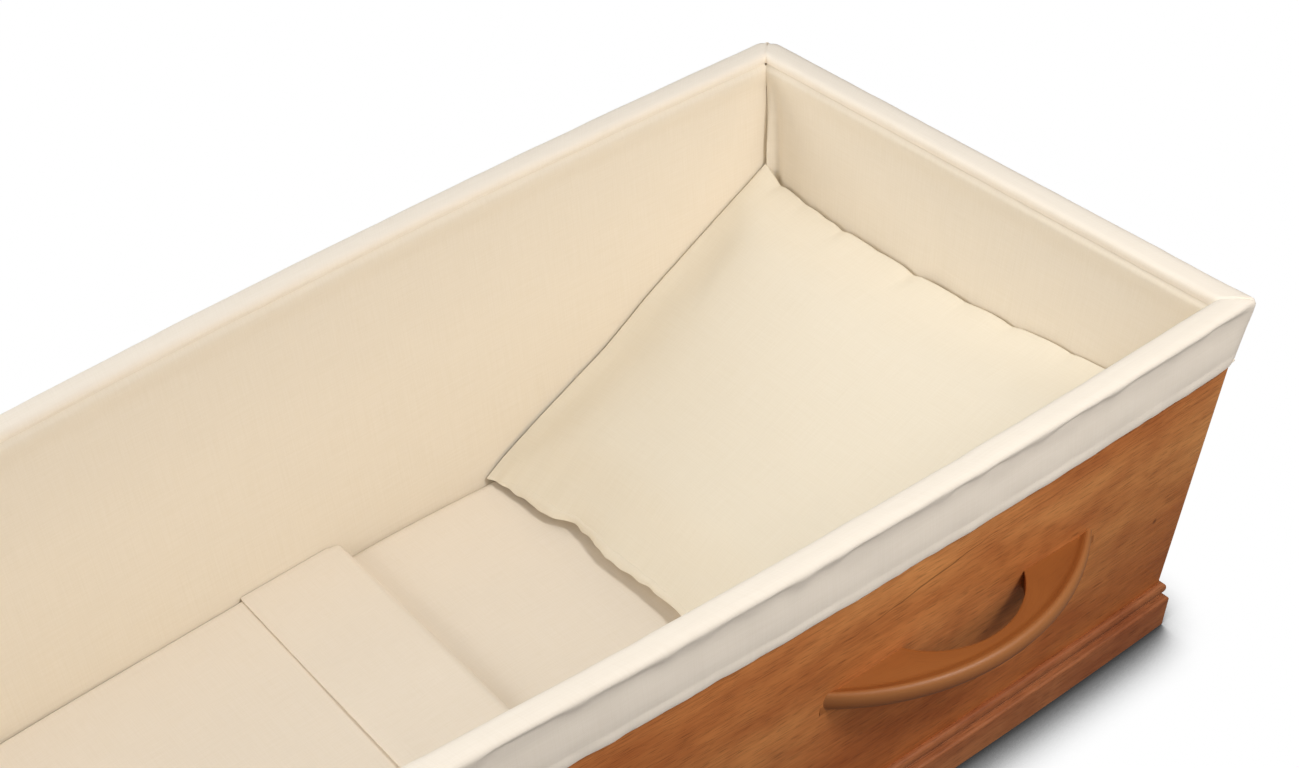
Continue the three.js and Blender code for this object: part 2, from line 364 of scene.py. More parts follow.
panelWood = makeWood("alder_stained_panels", {**panelLook, "check": ((1.5, 0.280), (1.71, 0.3085))})
plinthWood = makeWood("alder_stained_mouldings", plinthLook)
handleWood = makeWood("alder_laminated_handles", handleLook)
boardWood = makeWood("pine_planed_floor", boardLook)
borderCotton = makeCotton("cotton_border", borderLook)
liningCotton = makeCotton("cotton_lining", liningLook)
beddingCotton = makeCotton("cotton_bedding", beddingLook)
pillowCotton = makeCotton("cotton_pillow_cover", pillowLook)
print("materials made")


# Modelling helpers
def deselectAll():
    bpy.ops.object.select_all(action="DESELECT")


def choose(piece):
    deselectAll()
    piece.select_set(True)
    bpy.context.view_layer.objects.active = piece


def editAll(piece, *actions):
    choose(piece)
    bpy.ops.object.mode_set(mode="EDIT")
    bpy.ops.mesh.select_all(action="SELECT")
    for action in actions:
        action()
    bpy.ops.object.mode_set(mode="OBJECT")


def applyModifier(piece, kind, **settings):
    choose(piece)
    modifier = piece.modifiers.new(kind.lower(), kind)
    for name, value in settings.items():
        setattr(modifier, name, value)
    bpy.ops.object.modifier_apply(modifier=modifier.name)


def mergeDoubles():
    bpy.ops.mesh.remove_doubles(threshold=0.01 * mm)


def fillEnds():
    bpy.ops.mesh.fill_holes(sides=0)


def dropSlivers():
    bpy.ops.mesh.dissolve_degenerate(threshold=0.02 * mm)


def facesOut():
    bpy.ops.mesh.normals_make_consistent(inside=False)


def shadeSmooth(piece, degrees):
    choose(piece)
    bpy.ops.object.shade_smooth_by_angle(angle=math.radians(degrees))


def finishPiece(piece, material, slot, *nodes):
    piece.data.materials.clear()
    piece.data.materials.append(material)
    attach(piece, "root")
    if nodes:
        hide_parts(*nodes)
    return piece


# A skin of cloth or wood: a flat grid whose every corner is moved to place(u, v). Its map is in
# metres, width and height wide.
def makeSkin(name, mapName, columns, rows, width, height, place):
    deselectAll()
    bpy.ops.mesh.primitive_grid_add(x_subdivisions=columns, y_subdivisions=rows, size=2)
    skin = bpy.context.object
    skin.name = name
    skin.data.name = name
    skin.data.uv_layers[0].name = mapName
    for corner in skin.data.uv_layers[0].data:
        corner.uv = (corner.uv.x * width, corner.uv.y * height)
    for vertex in skin.data.vertices:
        u = (vertex.co.x + 1) / 2
        v = (vertex.co.y + 1) / 2
        vertex.co = place(u, v)
    return skin


# A moulding or board along one side. The section is a face of (inset, height) points. It is drawn
# out along X to a length of 1, cut into short lengths and laid on the wall.
def makeStrip(name, side, section, steps):
    deselectAll()
    bpy.ops.mesh.primitive_circle_add(vertices=len(section), radius=1, fill_type="NGON")
    strip = bpy.context.object
    strip.name = name
    strip.data.name = name
    for vertex, (inset, height) in zip(strip.data.vertices, section):
        vertex.co = (0, inset, height)
    editAll(
        strip,
        lambda: bpy.ops.mesh.extrude_region_move(TRANSFORM_OT_translate={"value": (1, 0, 0)}),
        facesOut,
    )
    ends = [vertex.co.x for vertex in strip.data.vertices]
    choose(strip)
    bpy.ops.object.mode_set(mode="EDIT")
    bpy.ops.mesh.select_mode(type="EDGE")
    bpy.ops.mesh.select_all(action="DESELECT")
    bpy.ops.object.mode_set(mode="OBJECT")
    for edge in strip.data.edges:
        first, second = edge.vertices
        edge.select = ends[first] != ends[second]
    bpy.ops.object.mode_set(mode="EDIT")
    bpy.ops.mesh.subdivide(number_cuts=steps - 1)
    bpy.ops.mesh.select_mode(type="VERT")
    bpy.ops.object.mode_set(mode="OBJECT")
    grainMap = strip.data.uv_layers.new(name="grain")
    ownGrain = 2.5 * sides.index(side)  # where this side's wood begins on the map
    for loop in strip.data.loops:
        t, inset, height = strip.data.vertices[loop.vertex_index].co
        grainMap.data[loop.index].uv = (t * sideLength(side) + ownGrain, height + inset)
    for vertex in strip.data.vertices:
        t, inset, height = vertex.co
        vertex.co = onWall(side, t, inset, height)
    editAll(strip, facesOut)
    return strip


# Boards
board = {
    "foot": 20.3 * mm,  # height of their lower edge, on the bottom board
    "top": 388 * mm,
    "eased": 1.0 * mm,  # the round on their edges
    "steps": {"left": 96, "right": 96, "head": 4, "foot": 4},  # short lengths along a side
}


# Section points given as (out from the boards' face, height), for a wall that leans
def leaning(points):
    return [(faceInset(z) - out, z) for out, z in points]


def makeBoard(side):
    thickness = form["boardThickness"]
    corners = [(0, board["foot"]), (-thickness, board["foot"]), (-thickness, board["top"]), (0, board["top"])]
    bowed = side in ("left", "right")
    name = f"side_board_{side}" if bowed else f"{side}_board"
    piece = makeStrip(name, side, leaning(corners), board["steps"][side])
    sharp = {"limit_method": "ANGLE", "angle_limit": math.radians(40)}
    applyModifier(piece, "BEVEL", width=board["eased"], segments=2, **sharp)
    shadeSmooth(piece, 30)
    node = f"side_panel_{side}" if bowed else f"{side}_panel"
    return finishPiece(piece, panelWood, "panel_wood", node)


# The moulding round the foot of the walls: a flat base, a narrow groove and a bead
moulding = {
    "base": 11.2 * mm,  # how far the base stands out at the floor
    "baseTop": 37.4 * mm,
    "baseRound": 3.2 * mm,
    "grooveOut": 4.4 * mm,
    "grooveTop": 41.2 * mm,
    "beadOut": 6.2 * mm,
    "height": 54.5 * mm,
    "roundSteps": 6,
}


# Points as (out from the boards' face, height), from the floor up; its back lies in the boards
def mouldingSection():
    m = moulding
    points = [(-0.2 * mm, 0), (m["base"] - 0.8 * mm, 0), (m["base"], 0.8 * mm)]
    shoulder = m["base"] - 0.9 * mm
    for i in range(m["roundSteps"] + 1):
        angle = math.radians(90 * i / m["roundSteps"])
        out = shoulder - m["baseRound"] * (1 - math.cos(angle))
        points.append((out, m["baseTop"] - m["baseRound"] * (1 - math.sin(angle))))
    points.append((m["grooveOut"] + 0.6 * mm, m["baseTop"] + 0.3 * mm))
    points.append((m["grooveOut"], m["baseTop"] + 1.2 * mm))
    points.append((m["grooveOut"], m["grooveTop"] - 0.6 * mm))
    middle = (m["grooveTop"] + m["height"]) / 2
    halfBead = (m["height"] - m["grooveTop"]) / 2
    for i in range(2 * m["roundSteps"] + 1):
        angle = math.radians(-80 + 170 * i / (2 * m["roundSteps"]))
        points.append((m["beadOut"] * (0.35 + 0.65 * math.cos(angle)), middle + halfBead * math.sin(angle)))
    points.append((-0.2 * mm, m["height"]))
    return points


def makeMoulding(side):
    piece = makeStrip(f"moulding_{side}", side, leaning(mouldingSection()), board["steps"][side])
    shadeSmooth(piece, 38)
    return finishPiece(piece, plinthWood, "plinth_wood", f"plinth_{side}")


for side in sides:
    makeBoard(side)
    makeMoulding(side)
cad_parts["bottom_board"].data.materials.clear()
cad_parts["bottom_board"].data.materials.append(boardWood)
print("boards and mouldings made")


# Handles: half-moon shelves with a D-shaped finger hole, a slightly hollowed top and a full lip
grip = {
    "places": {"head": 323 * mm, "middle": 1.0, "foot": 1.677},  # from the head end
    "top": 216 * mm,
    "thickness": 22 * mm,
    "halfLength": 153 * mm,
    "reach": 58 * mm,
    "holeHalfLength": 70 * mm,
    "holeDepth": 37 * mm,
    "hollow": 2.0 * mm,
    "rise": 0.07,  # how steeply the shelf's top climbs to the board
    "housed": 1 * mm,  # how far the shelf is let into the board
    "eased": 1.2 * mm,  # the round on the finger hole's edges
    "pastTips": 6 * mm,  # the skin runs on past the shelf's tips, inside the board
    "girth": 160 * mm,  # round its section, for the grain
    "lengthSteps": 160,
    "topSteps": 14,
}


# How far out a half-moon's arc is, at s along it from its middle
def arcOut(halfLength, reach, s):
    radius = (halfLength**2 + reach**2) / (2 * reach)
    return math.sqrt(max(0, radius**2 - s**2)) - radius + reach


# The lip's section, from the shelf's top round to its underside: (in from the lip's face, depth)
lip = [
    (6.4, 0.5), (5.0, 0.1), (3.6, 0.15), (2.3, 0.8), (1.2, 1.9), (0.5, 3.4), (0.1, 5.6), (0, 8.6), (0.4, 12),
    (1.4, 15.6), (3.2, 18.6), (6.0, 20.8), (9.5, 21.8), (13, 22),
]


# The handle's closed section at s along it: (out from the boards' face, depth below its top)
def gripSection(s):
    points = []

    def add(out, depth):
        behind = -s * s / (2 * form["bowRadius"]) - form["lean"] * depth - grip["housed"]
        points.append((max(out, behind), depth))

    outer = arcOut(grip["halfLength"], grip["reach"], s)
    holed = abs(s) < grip["holeHalfLength"]
    hole = arcOut(grip["holeHalfLength"], grip["holeDepth"], s) if holed else -3 * mm
    crest = outer - lip[0][0] * mm
    eased = grip["eased"] * min(1, max(0, hole) / (8 * mm))  # less where the hole runs out

    def topDepth(out):
        behindLip = max(0, crest - out)
        return lip[0][1] * mm + grip["hollow"] * smooth(0, 7 * mm, behindLip) - grip["rise"] * behindLip

    innerTop = topDepth(hole)
    add(hole, grip["thickness"] - eased)
    add(hole, grip["thickness"] / 2)
    add(hole, innerTop + eased)
    add(hole + 0.3 * eased, innerTop + 0.3 * eased)
    for i in range(grip["topSteps"]):
        share = i / grip["topSteps"]
        out = hole + eased + (crest - hole - eased) * (1 - (1 - share) ** 1.5)
        add(out, topDepth(out))
    for back, depth in lip:
        add(outer - back * mm, depth * mm)
    for i in range(1, 4):
        start = outer - lip[-1][0] * mm
        add(start + (hole + eased - start) * i / 3, grip["thickness"])
    points.append(points[0])
    return points


def makeGrip(side, place):
    x = form["endX"] - grip["places"][place]
    face = rimHalfWidth(x) - faceInset(grip["top"])
    reachAlong = grip["halfLength"] + grip["pastTips"]
    stations = {}

    def put(u, v):
        s = reachAlong * (2 * u - 1)
        key = round(u * grip["lengthSteps"])
        if key not in stations:
            stations[key] = gripSection(s)
        points = stations[key]
        out, depth = points[round(v * (len(points) - 1))]
        return Vector((s, out, -depth))

    count = len(gripSection(0)) - 1
    name = f"grip_{side}_{place}"
    piece = makeSkin(name, "grain", grip["lengthSteps"], count, 2 * reachAlong, grip["girth"], put)
    slopeTurn = math.atan2(rimHalfWidth(x + mm) - rimHalfWidth(x - mm), 2 * mm)
    turn = Matrix.Rotation(slopeTurn, 4, "Z")
    mirror = Matrix.Scale(-1, 4, Vector((0, 1, 0))) if side == "left" else Matrix.Identity(4)
    piece.data.transform(mirror @ Matrix.Translation((x, face, grip["top"])) @ turn)
    editAll(piece, mergeDoubles, fillEnds, dropSlivers, facesOut)
    shadeSmooth(piece, 40)
    return finishPiece(piece, handleWood, "handle_wood", f"handle_{side}_{place}")


for side in ("left", "right"):
    for place in grip["places"]:
        makeGrip(side, place)
print("handles made")


# Wall linings: cotton over thin wadding, tucked in under the border, with slack at the corners
lining = {
    "foot": 20.6 * mm,
    "top": 382.2 * mm,
    "cloth": 2.0 * mm,
    "columns": {"left": 240, "right": 240, "head": 150, "foot": 110},
    "rows": 56,
    "puff": 2.0 * mm,  # how far the cloth swells below the seam
    "tucked": 1.6 * mm,  # how far the seam pulls it back
    "swell": 1.1 * mm,
    "slack": 4.0 * mm,  # the end linings hang looser than the long ones
    "ripple": 1.7 * mm,
    "cornerFold": 6.5 * mm,  # a strip that stands up along an end lining's edge
    "cornerValley": 3.0 * mm,  # and the hollow beside it
    "clear": 0.3 * mm,  # of the neighbouring lining
}


# How far the cloth stands out from its flat place on the wall
def liningBulge(side, t, z):
    length = sideLength(side)
    s = t * length
    seed = 3.1 + sides.index(side)
    below = lining["top"] - z
    puff = lining["puff"] * smooth(1 * mm, 7 * mm, below) * (1 - smooth(9 * mm, 28 * mm, below))
    puff -= lining["tucked"] * (1 - smooth(0, 4.5 * mm, below))
    waves = swell(s, z, 0.42, seed) + 0.5 * swell(s, 0.6 * z, 0.13, seed + 9)
    bulge = puff + lining["swell"] * waves * smooth(0, 0.06, below)
    if side in ("head", "foot"):
        sag = smooth(0, 0.16, below)
        ripple = swell(s, 0.25 * z, 0.045, seed + 4)
        bulge += (lining["slack"] + lining["ripple"] * ripple) * sag
        for corner in (s, length - s):
            strip = math.exp(-((corner / mm - 7) / 4.5) ** 2)
            valley = math.exp(-((corner / mm - 17) / 7) ** 2)
            folds = lining["cornerFold"] * strip - lining["cornerValley"] * valley
            bulge += folds * smooth(0, 0.1, below)
    return bulge


def makeLining(side):
    height = lining["top"] - lining["foot"]

    def put(u, v):
        if side in ("head", "foot"):
            u = 0.35 * u + 0.65 * (0.5 - 0.5 * math.cos(math.pi * u))  # more columns at the corners
        z = lining["foot"] + height * (1 - (1 - v) ** 1.8)  # and more rows near the seam
        inset = liningInset(z) + liningBulge(side, u, z)
        base = onWall(side, u, liningInset(z) + lining["clear"], z)
        moved = onWall(side, u, inset, z)
        if side in ("head", "foot"):
            return Vector((moved.x, base.y, z))
        return Vector((base.x, moved.y, z))

    columns, rows = lining["columns"][side], lining["rows"]
    piece = makeSkin(f"wall_lining_{side}", "cloth", columns, rows, sideLength(side), height, put)
    applyModifier(piece, "SOLIDIFY", thickness=lining["cloth"], offset=1)
    editAll(piece, facesOut)
    shadeSmooth(piece, 60)
    finishPiece(piece, liningCotton, "lining_cotton", f"lining_{side}")
    return piece


for side in sides:
    makeLining(side)
print("linings made")


# The border: one strip of cotton round the rim, rolled over the boards' top edge, pulled straight
# at the corners and folded there with a small lap
border = {
    "cloth": 1.0 * mm,
    "spacing": 6 * mm,  # between stations along the strip
    "nearCorner": (0, 1.5, 3, 5, 8, 12, 17, 23),  # stations in mm from a corner, where they crowd
    "waves": 0.9 * mm,
    "cutWidth": 130 * mm,
    # how round the outer line is at the corner where each side starts
    "cornerRound": {"left": 6 * mm, "head": 3.5 * mm, "right": 18 * mm, "foot": 6 * mm},
    "flatFrom": 14,  # mm in from the outer line, where the corners are square
    "lap": 0.9 * mm,  # the fold's extra height at a corner
    "pinHole": 2.2 * mm,
    "mapWidth": 125 * mm,
}

# Section of the border's outer surface, (inset, height, waviness) points: from the hem up the
# hanging part to the groove under the roll, then over the rim and down to the lining
hangingSection = [
    (10.6, 325.4, 0.2), (8.8, 323.6, 0.4), (7.6, 323.5, 0.5), (6.9, 325.4, 0.6), (6.5, 328.5, 0.6),
    (6.4, 332.2, 0.5), (6.8, 334.4, 0.2), (6.6, 336.2, 0.3), (6.1, 340.5, 0.6), (5.8, 348.0, 0.8),
    (5.8, 356.0, 0.9), (5.9, 363.0, 1.0), (5.9, 369.0, 1.2), (5.6, 373.4, 1.5), (4.9, 377.0, 1.8),
    (4.0, 379.8, 1.8), (3.1, 382.0, 1.5), (2.1, 384.0, 1.2), (1.2, 386.0, 0.9),
]
topSection = [
    (0.8, 387.8, 0.6), (1.3, 389.4, 0.5), (2.9, 390.7, 0.5), (5.6, 391.6, 0.6), (9.6, 391.9, 0.8),
    (14.0, 391.7, 0.9), (19.0, 391.5, 0.8), (22.4, 391.0, 0.6), (24.9, 389.9, 0.6), (26.3, 388.2, 0.6),
    (26.8, 386.2, 0.6), (26.9, 384.2, 0.6), (26.7, 382.3, 0.5), (26.0, 380.8, 0.2),
]
borderSection = hangingSection + topSection
hemRows = range(0, 8)
outerRows = range(0, len(hangingSection))
rollRows = range(12, 18)  # from the groove up to the roll's widest line
topRows = range(len(hangingSection) + 1, len(hangingSection) + 9)


def borderStations(side):
    length = sideLength(side)
    near = [s * mm for s in border["nearCorner"]]
    gapFromCorner = near[-1] + border["spacing"]
    count = round((length - 2 * gapFromCorner) / border["spacing"])
    middle = [gapFromCorner + (length - 2 * gapFromCorner) * i / count for i in range(count + 1)]
    return near + middle + [length - s for s in reversed(near[1:])]


def makeBorder():
    stations = [(side, s) for side in sides for s in borderStations(side)]
    total = len(stations)
    rows = len(borderSection) - 1
    perimeter = sum(sideLength(side) for side in sides)

    def put(u, v):
        side, s = stations[round(u * total) % total]
        length = sideLength(side)
        row = round(v * rows)
        inset, height, wavy = borderSection[row]  # in mm, up to the last lines
        fromCorner = min(s, length - s)
        atCorner = math.exp(-((fromCorner / (9 * mm)) ** 2))
        if row in outerRows:  # pulled straight over a corner, from the roll down to 11 mm in at the hem
            taut = 11.2 * (391 - height) / 66 - 0.4
            inset += (taut - inset) * atCorner
            wavy *= 1 - 0.8 * atCorner
        place = s + sum(sideLength(other) for other in sides[: sides.index(side)])
        waves = 0.75 * swell(place, row * 4 * mm, 0.055, 1.7)
        waves += 0.6 * swell(place, row * 3 * mm, 0.021, 5.3)
        lift = 0.55 * border["waves"] * min(wavy, 1) * swell(place, row * 3 * mm, 0.08, 8.2)
        if row in hemRows:
            waves += 1.0 * swell(place, row * mm, 0.013, 3.3)
            lift += 0.7 * mm * swell(place, 0, 0.034, 6.1)
        if row in rollRows:
            lift += 1.8 * mm * swell(place, 0, 0.028, 7.7)
        if row in topRows:
            lift += border["lap"] * math.exp(-((s / (22 * mm)) ** 2)) * (0 if s == 0 else 1)
            if s == 0 and 4 < inset < 12:  # a pin has dented the fold
                lift -= border["pinHole"]
        if inset < border["flatFrom"]:
            corner = side if s < length / 2 else sides[(sides.index(side) + 1) % 4]
            r = border["cornerRound"][corner]
            reach = max(fromCorner, 0.293 * r)  # as far as the corner's diagonal
            rounding = r - math.sqrt(r * r - (r - reach) ** 2) if reach < r else 0
            inset += rounding / mm * (border["flatFrom"] - inset) / border["flatFrom"]
        inset = inset * mm + border["waves"] * wavy * waves
        height = height * mm + lift
        if row in outerRows:
            inset = min(inset, faceInset(height) - 1.35 * border["cloth"])  # stays clear of the board
        return onWall(side, s / length, inset, height)

    piece = makeSkin("cotton_rim", "cloth", total, rows, perimeter, border["mapWidth"], put)
    editAll(piece, mergeDoubles, facesOut)
    return piece


rim = makeBorder()  # the cloth's thickness then goes inwards, towards the boards
applyModifier(rim, "SOLIDIFY", thickness=border["cloth"], offset=-1)
shadeSmooth(rim, 60)
finishPiece(rim, borderCotton, "border_cotton", "rim_border")
print("border made")


# Bedding
bedding = {
    "floor": 20.6 * mm,
    "gap": 1.5 * mm,  # to the linings
    "mattressTop": 89 * mm,
    "underPillow": 79 * mm,
    "blanketTop": 108 * mm,
    "bandFrom": 628 * mm,  # the fold, from the head end
    "bandTo": 744 * mm,  # the turned-down edge
    "bandThickness": 3 * mm,
    "mapWidth": 0.6,
    "mattressRows": 56,  # across the bed
    "blanketRows": 64,
}


# The room between the linings, for the mattress, blanket and pillow
def bedHalfWidth(x, z):
    return rimHalfWidth(x) - liningInset(z) - bedding["gap"]


def bedEnd(z):
    return form["endX"] - liningInset(z) - bedding["gap"]


# A piece of bedding from its outline along the length, (x, z, edge rounding) points in order round
# it, run from side to side. Its long edges are rounded by drawing the outline in.
def makeBedding(name, outline, rows, soften):
    count = len(outline)
    normals = []
    for i in range(count):
        before, after = outline[i - 1], outline[(i + 1) % count]
        along = Vector((after[0] - before[0], after[1] - before[1]))
        normals.append(Vector((along.y, -along.x)).normalized() if along.length else Vector((0, 0)))

    def put(u, v):
        index = round(u * count) % count
        x, z, rounding = outline[index]
        across = math.sin((v - 0.5) * math.pi)  # steps crowd towards the two long edges
        across = 0.55 * across + 0.45 * (2 * v - 1)
        half = bedHalfWidth(x, z)
        y = across * half
        drawnIn = rounding - math.sqrt(max(0, rounding**2 - max(0, abs(y) - half + rounding) ** 2))
        x -= normals[index].x * drawnIn
        z -= normals[index].y * drawnIn
        return soften(Vector((x, y, z)), index)

    length = sum((Vector(a[:2]) - Vector(b[:2])).length for a, b in zip(outline, outline[1:] + outline[:1]))
    piece = makeSkin(name, "cloth", count, rows, length, bedding["mapWidth"], put)
    editAll(piece, mergeDoubles, fillEnds, facesOut)
    return piece


# Outline points along a level run, without its last one
def run(fromX, toX, z, rounding, step=14 * mm):
    count = max(1, round(abs(toX - fromX) / step))
    return [(fromX + (toX - fromX) * i / count, z, rounding) for i in range(count)]


# Outline points round a corner of the outline, about a centre at x, z
def roundCorner(x, z, radius, startDegrees, turnDegrees, rounding, steps=5):
    points = []
    for i in range(steps + 1):
        angle = math.radians(startDegrees + turnDegrees * i / steps)
        points.append((x + radius * math.cos(angle), z + radius * math.sin(angle), rounding))
    return points


# The mattress is pressed down under the pillow
def mattressTopAt(x):
    pressed = bedding["mattressTop"] - bedding["underPillow"]
    return bedding["underPillow"] + pressed * smooth(0.36, 0.62, form["endX"] - x)


def makeMattress():
    low = bedding["floor"]
    top = bedding["mattressTop"]
    end = bedEnd(top) - 2 * mm
    lowEnd = bedEnd(low)
    outline = run(-lowEnd, lowEnd, low, 2 * mm, 40 * mm)
    outline += [(lowEnd, low, 2 * mm), (bedEnd(55 * mm), 55 * mm, 6 * mm)]
    outline += roundCorner(end - 12 * mm, top - 12 * mm, 12 * mm, 0, 90, 9 * mm)
    outline += run(end - 14 * mm, -end + 14 * mm, top, 9 * mm)
    outline += roundCorner(-end + 12 * mm, top - 12 * mm, 12 * mm, 90, 90, 9 * mm)
    outline += [(-bedEnd(55 * mm), 55 * mm, 6 * mm)]

    def soften(point, index):
        if point.z > top - 14 * mm:
            dip = mattressTopAt(point.x) - top
            point.z += dip + 0.9 * mm * swell(point.x, point.y, 0.16, 2.2)
        return point

    piece = makeBedding("cotton_mattress", outline, bedding["mattressRows"], soften)
    shadeSmooth(piece, 60)
    finishPiece(piece, beddingCotton, "bedding_cotton", "mattress")


def makeBlanket():
    low = bedding["mattressTop"] + 0.6 * mm
    top = bedding["blanketTop"]
    bandTop = top + bedding["bandThickness"]
    fold = form["endX"] - bedding["bandFrom"]
    edge = form["endX"] - bedding["bandTo"]
    foot = -bedEnd(low)
    radius = (bandTop - low) / 2
    thin = 0.8 * mm
    # underside, fold, the band's top and its turned-down edge, then back under it and on to the foot
    outline = run(foot + 3 * mm, fold - radius, low, 3 * mm, 30 * mm)
    outline += roundCorner(fold - radius, low + radius, radius, -90, 180, 3 * mm, 10)
    outline += run(fold - radius - 6 * mm, edge + 4 * mm, bandTop, 1.2 * mm, 9 * mm)
    outline += [(edge + 1.2 * mm, bandTop, thin), (edge, bandTop - 0.8 * mm, thin)]
    outline += [(edge, top + 1.4 * mm, thin), (edge + 1.0 * mm, top + 0.7 * mm, thin)]
    outline += [(edge + 10 * mm, top + 0.5 * mm, thin)]
    outline += [(edge + 22 * mm, top + 0.25 * mm, thin), (edge + 10 * mm, top, thin)]
    outline += run(edge, -bedEnd(top) + 10 * mm, top, 3 * mm)
    outline += roundCorner(-bedEnd(top) + 8 * mm, top - 8 * mm, 8 * mm, 90, 90, 3 * mm)
    onBand = range(
        next(i for i, p in enumerate(outline) if p[1] >= bandTop - 0.01 * mm),
        next(i for i, p in enumerate(outline) if p[:2] == (edge + 22 * mm, top + 0.25 * mm)),
    )

    def soften(point, index):
        amount = smooth(low + 4 * mm, top, point.z)
        fromHead = form["endX"] - point.x
        # fuller beyond the band, lower over the last of the fold
        rise = 4.5 * mm * smooth(0.75, 0.98, fromHead) - 3 * mm * smooth(0.63, 0.6, fromHead)
        rise += 1.0 * mm * swell(point.x, point.y, 0.19, 6.4)
        if index in onBand:
            rise += 0.5 * mm * swell(point.x, point.y, 0.11, 4.4)
            # the turned-down edge stands up a little in its middle
            lifted = smooth(0.19, 0.02, abs(point.y + 0.02)) * smooth(edge + 40 * mm, edge, point.x)
            rise += 1.3 * mm * lifted
        point.z += rise * amount
        return point

    piece = makeBedding("cotton_blanket", outline, bedding["blanketRows"], soften)
    shadeSmooth(piece, 50)
    finishPiece(piece, beddingCotton, "bedding_cotton", "blanket")


makeMattress()
makeBlanket()
print("mattress and blanket made")


# The pillow spans the width and leans from the mattress up to the head lining. Its edge is a seam
# that lies on the side linings, a little off the head lining, and wavy across the front.
pillow = {
    "columns": 108,
    "rows": 84,
    "pressure": 1.6,
    "stretch": -0.004,  # below 0, the cloth is this much larger than the space between its seams
    "frames": 20,
    "cap": 12 * mm,  # the furthest that the air may move the cover
    "evening": 50,  # how often its moves are averaged with their neighbours'
    "backGap": 4 * mm,  # to the head lining
    "crown": 36 * mm,
    "shoulder": 115 * mm,  # the crown's full height is reached this far in from a seam
    "length": 0.44,
    "gathers": 1.3 * mm,
    "lies": 0.40,  # from the head end, how far the underside lies on the mattress
    "clear": 1.2 * mm,  # above it
    "map": (0.55, 0.45),
}

# Its seams, in mm. Where the side seams lie on the linings: (from the head end, height)
pillowSide = [(50, 281), (70, 272), (141, 239), (215, 204), (289, 164), (375, 128), (430, 104), (457, 90)]
# its front seam: (across, with + to the right; from the head end; height)
pillowFront = [
    (-265, 462, 93), (-250, 448, 103), (-215, 442, 105), (-175, 447, 103), (-135, 442, 101), (-90, 445, 100),
    (-41, 439, 99), (-9, 438, 97), (17, 438, 96), (42, 440, 95), (73, 441, 94), (97, 436, 93),
    (133, 432, 91), (155, 443, 91), (172, 446, 90), (210, 448, 89), (240, 451, 88), (253, 452, 87),
    (267, 459, 86),
]


# A seam's course, and that course with its small waves smoothed away
def seamLine(points, across):
    wavy = through(points, across)
    even = sum(through(points, across + step) for step in (-75, -45, -15, 15, 45, 75)) / 6
    return wavy, even


# The front seam, pulled in and out a little between its stitches. Value 0 is its place from the
# head end, and value 1 its height. The waves die out as nearness falls from 1 to 0.
def frontSeam(y, value, nearness):
    points = [(across, row[value]) for across, *row in pillowFront]
    wavy, even = seamLine(points, y / mm)
    wavy += 1.4 * swell(y, value, 0.013, 8.8)
    return (even + (wavy - even) * nearness) * mm


# Its seam along the head lining: (across, height), and the puckers in that seam: (across, depth)
pillowHead = [
    (-280, 279), (-245, 277), (-180, 272), (-130, 268), (-75, 261), (-22, 256), (40, 254), (89, 254),
    (150, 255), (202, 258), (235, 264), (262, 276), (290, 288),
]
puckers = [
    (-150, 3.2), (-80, 5.0), (-22, 2.2), (46, 6.5), (96, 2.4), (144, 5.5), (168, 3.2), (198, 3.0), (236, 6.5),
]


def headSeam(y, nearness):
    wavy, even = seamLine(pillowHead, y / mm)
    wavy += 1.6 - sum(depth * math.exp(-abs(y / mm - place) / 7) for place, depth in puckers)
    return (even + (wavy - even) * nearness) * mm


# How far the stuffing lifts the cover, at a distance in from a seam
def plump(distance):
    return 1 - max(0, 1 - distance / pillow["shoulder"]) ** 2


# The cover's upper side: p runs 0 to 1 from left to right, q from the front seam to the head
def pillowTop(p, q):
    sideway = 2 * p - 1
    y = sideway * bedHalfWidth(form["endX"] - 0.45, 0.1)
    nearFront = math.exp(-q * pillow["length"] / (26 * mm))
    nearBack = math.exp(-(1 - q) * pillow["length"] / (20 * mm))
    # from the front seam to the head seam, climbing as the side seams do
    front = frontSeam(y, 0, nearFront)
    frontHeight = frontSeam(y, 1, nearFront)
    backHeight = headSeam(y, nearBack)
    back = liningInset(backHeight) + bedding["gap"] + pillow["backGap"]
    fromHead = front + (back - front) * q
    far, near = pillowSide[-1], pillowSide[0]
    climb = [((far[0] - d) / (far[0] - near[0]), h) for d, h in reversed(pillowSide)]
    share = (through(climb, q) - far[1]) / (near[1] - far[1])
    z = frontHeight + (backHeight - frontHeight) * share
    x = form["endX"] - fromHead
    half = bedHalfWidth(x, z)
    # the stuffing's lift, and the small gathers along the seams
    inFromSide = (1 - abs(sideway)) * half
    inFromEnds = min(q, 1 - q) * pillow["length"]
    lift = pillow["crown"] * plump(inFromSide)
    lift *= plump(q * pillow["length"])
    lift *= plump((1 - q) * pillow["length"])
    atEnds = math.exp(-inFromEnds / (22 * mm)) * smooth(0, 5 * mm, inFromEnds)
    atSides = math.exp(-inFromSide / (20 * mm)) * smooth(0, 5 * mm, inFromSide)
    gathers = swell(y, 0, 0.021, 4.9) * atEnds + 0.8 * swell(fromHead, 0, 0.024, 7.1) * atSides
    lift += pillow["gathers"] * gathers
    return Vector((x - 0.4 * lift, sideway * half, z + 0.92 * lift))


# Its underside drops from the seams to lie on the mattress
def pillowUnder(p, q):
    top = pillowTop(p, q)
    sideway = abs(2 * p - 1)
    drop = smooth(1, 0.93, sideway) * smooth(0, 0.09, q) * smooth(1, 0.985, q)
    rest = mattressTopAt(top.x) + pillow["clear"]
    return Vector((top.x, top.y, top.z + (min(rest, top.z) - top.z) * drop))


